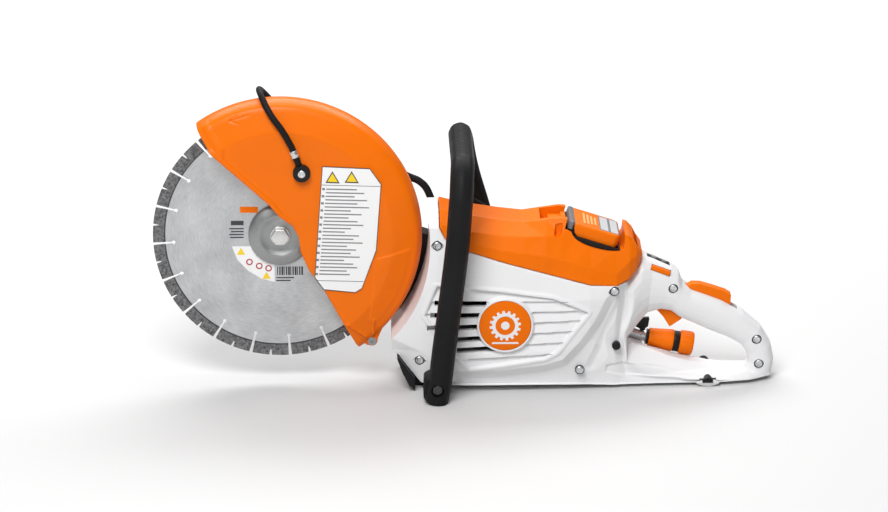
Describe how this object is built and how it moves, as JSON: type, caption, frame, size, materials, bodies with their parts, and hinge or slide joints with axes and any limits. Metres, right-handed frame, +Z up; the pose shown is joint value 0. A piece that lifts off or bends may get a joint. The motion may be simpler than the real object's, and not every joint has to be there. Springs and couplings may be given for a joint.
{
  "type": "rescue saw",
  "caption": "Handheld battery cut-off saw with a segmented disc under a swinging guard, wrap-around front handle and rear grip with trigger.",
  "frame": {"origin": "on the floor under the middle of the saw's bounding box", "axes": "+X from the disc towards the rear grip, +Y to the operator's right, +Z up"},
  "size_m": [0.735, 0.2174, 0.3602],
  "materials": {
    "white_shell": "fine grained moulded polymer",
    "orange_shell": "satin moulded polymer",
    "guard_orange": "smooth powder coat",
    "black_plastic": "matte",
    "black_rubber": "matte",
    "grey_plastic": "satin",
    "cast_alloy": "fine cast",
    "bright_steel": "zinc plated",
    "disc_steel": "brushed",
    "dark_steel": "dull",
    "label_white": "printed film, blank",
    "copper_winding": "enamelled"
  },
  "bodies": {
    "chassis": {"left_casing": "white_shell", "right_casing": "white_shell", "casing_screw_1": "bright_steel", "casing_screw_2": "bright_steel", "casing_screw_3": "bright_steel", "casing_screw_4": "bright_steel", "casing_screw_5": "bright_steel", "casing_screw_6": "bright_steel", "casing_screw_7": "bright_steel", "battery_hood": "orange_shell", "battery_shaft": "black_plastic", "badge": "orange_shell", "control_panel": "black_plastic", "front_skid": "black_rubber", "rear_foot_left": "black_rubber", "rear_foot_right": "black_rubber", "front_handle": "black_plastic", "handle_bolt_low": "dark_steel", "handle_bolt_high": "dark_steel", "arm_casting": "black_plastic", "belt_cover": "black_plastic", "drive_belt": "black_rubber", "bearing_inner": "bright_steel", "bearing_outer": "bright_steel", "motor_stator": "copper_winding", "motor_controller": "black_plastic", "water_inlet": "grey_plastic", "coupling_core": "black_plastic", "supply_hose": "black_rubber", "trigger_pin": "bright_steel", "lockout_pin": "bright_steel", "trigger_switch": "black_plastic"},
    "spindle_set": {"spindle": "bright_steel", "spindle_pulley": "cast_alloy", "inner_flange": "bright_steel", "outer_flange": "cast_alloy", "disc_bolt": "bright_steel", "cutting_disc": "disc_steel"},
    "rotor_set": {"motor_rotor": "dark_steel", "motor_pulley": "bright_steel", "cooling_fan": "black_plastic"},
    "guard": {"guard_left": "guard_orange", "guard_right": "guard_orange", "guard_screw": "dark_steel", "guard_label": "label_white", "nozzle_left": "black_plastic", "nozzle_right": "black_plastic", "nozzle_hose": "black_rubber", "hose_clip": "bright_steel"},
    "battery": {"battery_case": "black_plastic", "battery_cap": "orange_shell"},
    "release": {"battery_release": "orange_shell"},
    "trigger": {"trigger": "orange_shell"},
    "lockout": {"lockout_lever": "orange_shell"},
    "latch": {"retaining_latch": "orange_shell"},
    "power_button": {"power_button": "grey_plastic"},
    "water_button": {"water_button": "grey_plastic"},
    "valve": {"valve_lever": "black_plastic"},
    "sleeve": {"coupling_sleeve": "orange_shell"},
    "nut": {"coupling_nut": "orange_shell"}
  },
  "joints": [
    {"name": "guard_swing", "type": "hinge", "parent": "chassis", "child": "guard", "pos_m": [-0.2175, 0.00058, 0.18], "axis": [0, 1, 0], "range_deg": [-6, 40], "deforming": ["supply_hose"]},
    {"name": "spindle_spin", "type": "hinge", "parent": "chassis", "child": "spindle_set", "pos_m": [-0.2175, 0.00058, 0.18], "axis": [0, 1, 0], "continuous": true},
    {"name": "motor_spin", "type": "hinge", "parent": "chassis", "child": "rotor_set", "pos_m": [0.0145, 0.00058, 0.094], "axis": [0, 1, 0], "continuous": true},
    {"name": "battery_slide", "type": "slide", "parent": "chassis", "child": "battery", "axis": [0.309, 0, 0.9511], "range_m": [0, 0.13]},
    {"name": "release_press", "type": "hinge", "parent": "chassis", "child": "release", "pos_m": [0.1, 0.00058, 0.195], "axis": [0, 1, 0], "range_deg": [0, 7], "stiffness_Nm_per_rad": 0.4, "springref_deg": -5.73},
    {"name": "trigger_pull", "type": "hinge", "parent": "chassis", "child": "trigger", "pos_m": [0.2285, 0.00058, 0.092], "axis": [0, -1, 0], "range_deg": [0, 12], "stiffness_Nm_per_rad": 0.5, "springref_deg": -8.59},
    {"name": "lockout_press", "type": "hinge", "parent": "chassis", "child": "lockout", "pos_m": [0.2695, 0.00058, 0.104], "axis": [0, 1, 0], "range_deg": [0, 9], "stiffness_Nm_per_rad": 0.5, "springref_deg": -11.46},
    {"name": "latch_press", "type": "slide", "parent": "chassis", "child": "latch", "axis": [0, 1, 0], "range_m": [0, 0.003], "stiffness_N_per_m": 300, "springref_m": -0.002},
    {"name": "power_press", "type": "slide", "parent": "chassis", "child": "power_button", "axis": [-0.3884, 0, -0.9215], "range_m": [0, 0.0012], "stiffness_N_per_m": 400, "springref_m": -0.001},
    {"name": "water_press", "type": "slide", "parent": "chassis", "child": "water_button", "axis": [-0.3884, 0, -0.9215], "range_m": [0, 0.0012], "stiffness_N_per_m": 400, "springref_m": -0.001},
    {"name": "valve_turn", "type": "hinge", "parent": "chassis", "child": "valve", "pos_m": [0.2125, 0.01458, 0.055], "axis": [0, 0, 1], "range_deg": [0, 90]},
    {"name": "sleeve_slide", "type": "slide", "parent": "chassis", "child": "sleeve", "axis": [-0.9848, 0, 0.1736], "range_m": [0, 0.004], "stiffness_N_per_m": 500, "springref_m": -0.002},
    {"name": "nut_turn", "type": "hinge", "parent": "chassis", "child": "nut", "pos_m": [0.26377, 0.01458, 0.03666], "axis": [0.9848, 0, -0.1736], "range_deg": [-180, 180]}
  ],
  "couplings": [
    {"joint": "motor_spin", "follows": "spindle_spin", "ratio": 1.887}
  ]
}
